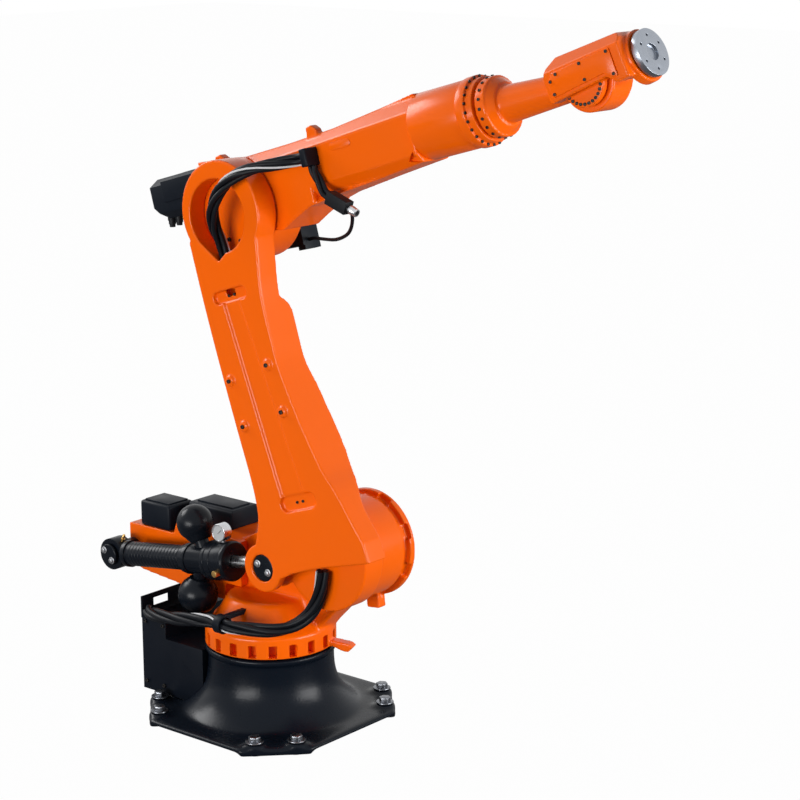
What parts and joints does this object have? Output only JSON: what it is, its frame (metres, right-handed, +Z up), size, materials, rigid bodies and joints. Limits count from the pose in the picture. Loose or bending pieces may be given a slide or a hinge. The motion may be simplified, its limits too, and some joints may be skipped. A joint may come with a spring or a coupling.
{
  "type": "six-axis industrial robot arm",
  "caption": "Floor-mounted articulated robot arm with a black bell base, a turning column, a long link arm with a gas counterbalance, and a slim in-line wrist with a tool flange.",
  "frame": {"origin": "on the turning axis, on the floor plane under the base plate", "axes": "+X along the arm's reach, +Y to the side away from the link arm, +Z up"},
  "size_m": [2.2015, 0.7552, 2.3631],
  "materials": {
    "orange_paint": "satin orange paint on cast aluminium and iron",
    "black_cast": "semi-gloss black paint on a rough casting",
    "black_sheet": "matt black powder coat on sheet metal",
    "motor_black": "matt black motor paint",
    "balance_black": "satin black paint on steel",
    "cable_black": "black cable sheath",
    "plug_black": "moulded black plug housing",
    "steel": "bright ground steel",
    "brass": "turned brass",
    "flange_metal": "machined bright metal"
  },
  "bodies": {
    "base": {"base_casting": "black_cast", "base_connection_box": "black_sheet", "base_cable_tray": "black_sheet", "base_cable_bundle": "cable_black"},
    "column": {"column_casting": "orange_paint", "shoulder_far_ring": "orange_paint", "motor_carrier": "orange_paint", "a1_motor": "motor_black", "a2_motor": "motor_black", "counterbalance_pivot": "balance_black", "column_cable_clamp": "black_sheet", "column_cable_bundle": "cable_black"},
    "counterbalance": {"counterbalance_cylinder": "balance_black", "counterbalance_manifold": "balance_black", "upper_accumulator": "balance_black", "lower_accumulator": "balance_black", "counterbalance_gland": "balance_black", "pressure_gauge": "steel", "fill_valve": "brass"},
    "balance_rod": {"counterbalance_rod": "steel"},
    "link_arm": {"link_arm_casting": "orange_paint", "counterbalance_pin_cap": "balance_black", "elbow_cable_bundle": "cable_black"},
    "arm": {"arm_housing": "orange_paint", "elbow_hub": "orange_paint", "arm_extension": "orange_paint", "extension_ring": "orange_paint", "a3_motor": "motor_black", "a4_motor": "motor_black", "a5_motor": "motor_black", "a6_motor": "motor_black", "arm_cable_clamp": "black_sheet", "arm_cable_strip": "cable_black", "arm_plug": "plug_black", "arm_plug_lead": "cable_black"},
    "wrist": {"wrist_tube": "orange_paint"},
    "hand": {"hand_housing": "orange_paint", "hand_near_cover": "orange_paint", "hand_far_cover": "orange_paint"},
    "flange": {"tool_flange": "flange_metal"}
  },
  "joints": [
    {"name": "a1_turn", "type": "hinge", "parent": "base", "child": "column", "pos_m": [0, 0, 0.3], "axis": [0, 0, 1], "range_deg": [-185, 185], "deforming": ["base_cable_bundle"]},
    {"name": "a2_shoulder", "type": "hinge", "parent": "column", "child": "link_arm", "pos_m": [0.33, 0, 0.63], "axis": [0, 1, 0], "range_deg": [-32, 103], "deforming": ["column_cable_bundle"]},
    {"name": "balance_swing", "type": "hinge", "parent": "column", "child": "counterbalance", "pos_m": [-0.617, -0.1195, 0.47], "axis": [0, -1, 0], "range_deg": [-6, 17]},
    {"name": "balance_slide", "type": "slide", "parent": "counterbalance", "child": "balance_rod", "axis": [0.9905, 0, 0.1378], "range_m": [-0.07, 0.212]},
    {"name": "a3_elbow", "type": "hinge", "parent": "link_arm", "child": "arm", "pos_m": [-0.02537, 0, 1.72371], "axis": [0, -1, 0], "range_deg": [-62.8, 212.2], "deforming": ["elbow_cable_bundle"]},
    {"name": "a4_roll", "type": "hinge", "parent": "arm", "child": "wrist", "pos_m": [0.90826, 0, 2.09703], "axis": [0.9622, 0, 0.2723], "range_deg": [-350, 350]},
    {"name": "a5_bend", "type": "hinge", "parent": "wrist", "child": "hand", "pos_m": [1.31239, 0, 2.21139], "axis": [0, -1, 0], "range_deg": [-134.5, 115.5]},
    {"name": "a6_spin", "type": "hinge", "parent": "hand", "child": "flange", "pos_m": [1.49954, 0, 2.29985], "axis": [0.9041, 0, 0.4274], "range_deg": [-350, 350]}
  ],
  "couplings": [
    {"joint": "balance_swing", "follows": "a2_shoulder", "ratio": 0.15},
    {"joint": "balance_slide", "follows": "a2_shoulder", "m_per_rad": 0.1146}
  ]
}
